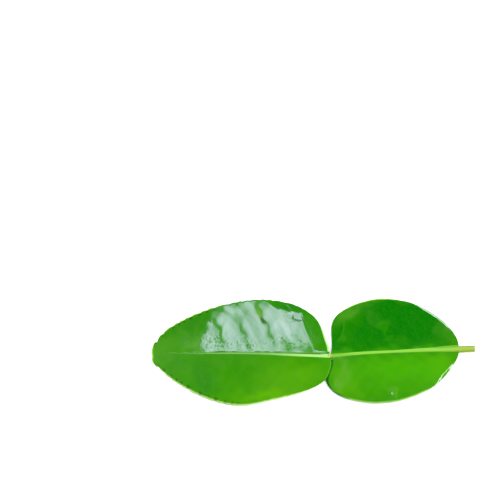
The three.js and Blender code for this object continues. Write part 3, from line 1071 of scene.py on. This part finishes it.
def makeRim():
    # the thin rim, painted paler as though lit, a little horny, browner in the notches, and with painted
    # shadow where the wing's edge lies under the blade
    material, tree, shader, paint, place = newMaterial("paleRim", rim)
    mottle = placeGroup(tree, mottleGroup, {"Place": place, "Middling": rim["mottleScale"]})["Middling"]
    tint = mixed(tree, mottle, paint["pale"], paint["green"])
    inNotch = between(tree, trait(tree, "notch"), *rim["notch"])
    tint = mixed(tree, times(tree, inNotch, rim["notchStrength"]), tint, paint["notch"])
    # painted shadow where the wing's edge lies under the blade
    tint = mixed(tree, between(tree, trait(tree, "edgeTone"), *rim["darkTones"]), tint, paint["dark"])
    tree.links.new(tint, shader["Base Color"])
    least, mottled = rim["roughness"]
    roughen(tree, shader, least, mottle, mottled)
    return material


driedCut = {
    "specular": 0.2,
    "roughness": (0.6, 0.3),
    "bump": {"strength": 0.7, "depth": 0.06},
    "fibres": {"scale": 4200.0, "detail": 3.0, "waver": 0.3, "edges": (0.55, 0.7), "strength": 0.5},
    "ring": (0.4, 0.7),             # millimetres from the middle of the pith
    "edge": (0.9, 1.2),
    "colours": {
        "pith": (150, 160, 98),
        "ring": (112, 138, 62),
        "edge": (104, 84, 40),
        "fibre": (98, 92, 50),
    },
}


def makeCut():
    # the cut face of the stalk: pale pith, a greener ring and a dried brown edge
    material, tree, shader, paint, place = newMaterial("driedCut", driedCut)
    grain = driedCut["fibres"]
    fibres = noise(tree, place, grain["scale"], grain["detail"])
    away = put(tree, "ShaderNodeVectorMath", {0: place, 1: pith}, operation="DISTANCE").outputs["Value"]
    away = calc(tree, "ADD", calc(tree, "DIVIDE", away, mm), times(tree, fibres, grain["waver"]))
    tint = mixed(tree, between(tree, away, *driedCut["ring"]), paint["pith"], paint["ring"])
    tint = mixed(tree, between(tree, away, *driedCut["edge"]), tint, paint["edge"])
    fibrous = times(tree, between(tree, fibres, *grain["edges"]), grain["strength"])
    tree.links.new(mixed(tree, fibrous, tint, paint["fibre"]), shader["Base Color"])
    least, fibred = driedCut["roughness"]
    roughen(tree, shader, least, fibres, fibred)
    bump = driedCut["bump"]
    tree.links.new(bumped(tree, fibres, bump["strength"], bump["depth"]), shader["Normal"])
    return material


for slot, make in enumerate((makeUpperFace, makeUnderFace, makeRim, makeCut)):
    leaf.data.materials[slot] = make()

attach(leaf, "root")
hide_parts("lime_leaf")

print("floor, light and camera")
studio = {
    "floor": {"size": 6, "drop": 0.05, "tint": (0.93, 0.95, 0.84, 1), "roughness": 0.9, "specular": 0.1},
    "mirrored": 0.004,          # how bright the walls are in the leaf's gloss
    # a soft box, which the blade's raised half mirrors
    "box": {"power": 6.1, "over": (-0.045, 0.01), "height": 1.0, "size": (0.51, 0.33),
            "tint": (0.75, 0.7, 1.0)},
    # soft suns: strength, and where each comes from
    "suns": {"rightSun": (2.1, (0.547, -0.117, 0.827)), "backSun": (1.6, (0.372, 0.786, 0.493))},
    "sunAngle": 24,
    "camera": {"lens": 150, "sensor": 36, "elevation": 67.16, "distance": 0.723,
               "aim": (-0.02145, 0.0377, 0)},
}


def makeFloor():
    plain = studio["floor"]
    deselectAll()
    bpy.ops.mesh.primitive_plane_add(size=plain["size"], location=(0, 0, -plain["drop"] * mm))
    floor = bpy.context.object
    floor.name = "floor"
    material = bpy.data.materials.new("paleFloor")
    material.use_nodes = True
    shader = material.node_tree.nodes["Principled BSDF"].inputs
    shader["Base Color"].default_value = plain["tint"]
    shader["Roughness"].default_value = plain["roughness"]
    shader["Specular IOR Level"].default_value = plain["specular"]
    floor.data.materials.append(material)
    return floor


def makeWalls():
    # white to the eye and as soft light, and nearly black in reflections
    world = bpy.data.worlds.new("studio")
    world.use_nodes = True
    tree = world.node_tree
    background = tree.nodes["Background"].inputs
    background["Color"].default_value = (1, 1, 1, 1)
    ray = put(tree, "ShaderNodeLightPath").outputs
    bright = calc(tree, "ADD", ray["Is Camera Ray"], ray["Is Diffuse Ray"])
    tree.links.new(calc(tree, "ADD", bright, studio["mirrored"]), background["Strength"])
    world.cycles.sampling_method = "NONE"
    return world


floor = makeFloor()
bpy.context.scene.world = makeWalls()


def addLamp(name, kind, power, place, aim=(0, 0, 0), **settings):
    deselectAll()
    bpy.ops.object.light_add(type=kind, location=place)
    lamp = bpy.context.object
    lamp.name = name
    lamp.data.energy = power
    for key, value in settings.items():
        setattr(lamp.data, key, value)
    lamp.rotation_mode = "QUATERNION"
    lamp.rotation_quaternion = (Vector(aim) - Vector(place)).to_track_quat("-Z", "Y")


box = studio["box"]
addLamp("overheadBox", "AREA", box["power"], (*box["over"], box["height"]), (*box["over"], 0),
        color=box["tint"], shape="RECTANGLE", size=box["size"][0], size_y=box["size"][1])
for name, (power, place) in studio["suns"].items():
    addLamp(name, "SUN", power, place, angle=radians(studio["sunAngle"]))

camera = studio["camera"]
tilt = radians(camera["elevation"])
back = Vector((0, -cos(tilt), sin(tilt)))
deselectAll()
bpy.ops.object.camera_add(location=Vector(camera["aim"]) + back * camera["distance"])
eye = bpy.context.object
eye.rotation_mode = "QUATERNION"
eye.rotation_quaternion = (-back).to_track_quat("-Z", "Y")
eye.data.lens = camera["lens"]
eye.data.sensor_width = camera["sensor"]
bpy.context.scene.camera = eye
bpy.context.scene.view_settings.view_transform = "Standard"
